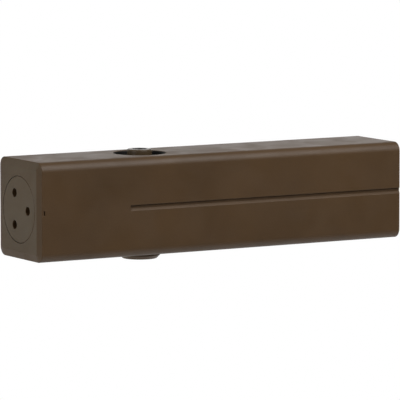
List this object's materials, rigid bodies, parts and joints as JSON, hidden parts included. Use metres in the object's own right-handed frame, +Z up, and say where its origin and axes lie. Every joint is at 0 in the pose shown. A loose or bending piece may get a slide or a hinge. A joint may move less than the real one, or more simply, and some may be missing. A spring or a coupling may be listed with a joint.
{
  "type": "door closer",
  "caption": "Surface-mounted hydraulic door closer body: a bronze bar with bevelled ends, a flush end plug with valve holes, a recessed top spindle and a long front groove.",
  "frame": {"origin": "middle of the flat back face that lies against the door", "axes": "+X along the body away from the valve end, +Y into the door, +Z up along the spindle; the front is at -Y"},
  "size_m": [0.273, 0.057, 0.0711],
  "materials": {
    "housing_paint": "satin dark bronze paint over cast aluminium",
    "plug_paint": "satin dark bronze paint",
    "cap_paint": "satin dark bronze paint",
    "spindle_steel": "bronzed steel ends, bare ground steel inside",
    "piston_iron": "ground and hardened",
    "hard_steel": "ground",
    "turned_steel": "blackened, turned",
    "spring_steel": "oiled spring steel",
    "brass_valve": "turned",
    "seal_rubber": "moulded",
    "ring_polymer": "moulded"
  },
  "bodies": {
    "body": {"housing": "housing_paint", "gallery_balls": "hard_steel", "left_end_plug": "plug_paint", "left_plug_oring": "seal_rubber", "right_end_plug": "plug_paint", "right_plug_oring": "seal_rubber", "adjuster_thrust_washer": "hard_steel", "upper_bearing_carrier": "turned_steel", "upper_carrier_oring": "seal_rubber", "upper_bearing_cup": "hard_steel", "upper_needle_rollers": "hard_steel", "upper_shaft_seal": "seal_rubber", "upper_thrust_washer": "hard_steel", "lower_bearing_carrier": "turned_steel", "lower_carrier_oring": "seal_rubber", "lower_bearing_cup": "hard_steel", "lower_needle_rollers": "hard_steel", "lower_shaft_seal": "seal_rubber", "lower_thrust_washer": "hard_steel", "lower_spindle_cap": "cap_paint"},
    "spindle": {"pinion_spindle": "spindle_steel"},
    "piston": {"rack_piston": "piston_iron", "piston_rings": "ring_polymer", "check_retainer": "turned_steel", "relief_screw": "turned_steel", "relief_spring": "spring_steel", "closing_spring_outer": "spring_steel", "closing_spring_inner": "spring_steel"},
    "check_ball": {"check_ball": "hard_steel"},
    "relief_ball": {"relief_ball": "hard_steel"},
    "adjuster": {"adjusting_screw": "hard_steel", "adjusting_screw_oring": "seal_rubber"},
    "spring_plate": {"spring_plate": "turned_steel"},
    "closing_valve": {"closing_valve": "brass_valve", "closing_valve_oring": "seal_rubber"},
    "latching_valve": {"latching_valve": "brass_valve", "latching_valve_oring": "seal_rubber"},
    "backcheck_valve": {"backcheck_valve": "brass_valve", "backcheck_valve_oring": "seal_rubber"}
  },
  "joints": [
    {"name": "spindle_turn", "type": "hinge", "parent": "body", "child": "spindle", "pos_m": [-0.048, -0.0285, 0], "axis": [0, 0, 1], "range_deg": [0, 180]},
    {"name": "piston_slide", "type": "slide", "parent": "body", "child": "piston", "axis": [1, 0, 0], "range_m": [0, 0.03298], "stiffness_N_per_m": 35000, "springref_m": -0.02, "deforming": ["closing_spring_outer", "closing_spring_inner"]},
    {"name": "check_ball_lift", "type": "slide", "parent": "piston", "child": "check_ball", "axis": [-1, 0, 0], "range_m": [0, 0.0009]},
    {"name": "relief_ball_lift", "type": "slide", "parent": "piston", "child": "relief_ball", "axis": [1, 0, 0], "range_m": [0, 0.0009], "stiffness_N_per_m": 200, "springref_m": -0.0005, "deforming": ["relief_spring"]},
    {"name": "adjuster_turn", "type": "hinge", "parent": "body", "child": "adjuster", "pos_m": [0.11, -0.0285, 0], "axis": [-1, 0, 0], "range_deg": [0, 2160]},
    {"name": "spring_plate_slide", "type": "slide", "parent": "body", "child": "spring_plate", "axis": [-1, 0, 0], "range_m": [0, 0.009]},
    {"name": "closing_valve_turn", "type": "hinge", "parent": "body", "child": "closing_valve", "pos_m": [-0.122, -0.0404, 0], "axis": [-1, 0, 0], "range_deg": [0, 720]},
    {"name": "latching_valve_turn", "type": "hinge", "parent": "body", "child": "latching_valve", "pos_m": [-0.122, -0.02255, 0.01031], "axis": [-1, 0, 0], "range_deg": [0, 720]},
    {"name": "backcheck_valve_turn", "type": "hinge", "parent": "body", "child": "backcheck_valve", "pos_m": [-0.122, -0.02255, -0.01031], "axis": [-1, 0, 0], "range_deg": [0, 720]}
  ],
  "couplings": [
    {"joint": "spindle_turn", "follows": "piston_slide", "rad_per_m": 95.238},
    {"joint": "adjuster_turn", "follows": "spring_plate_slide", "rad_per_m": 4188.8}
  ]
}
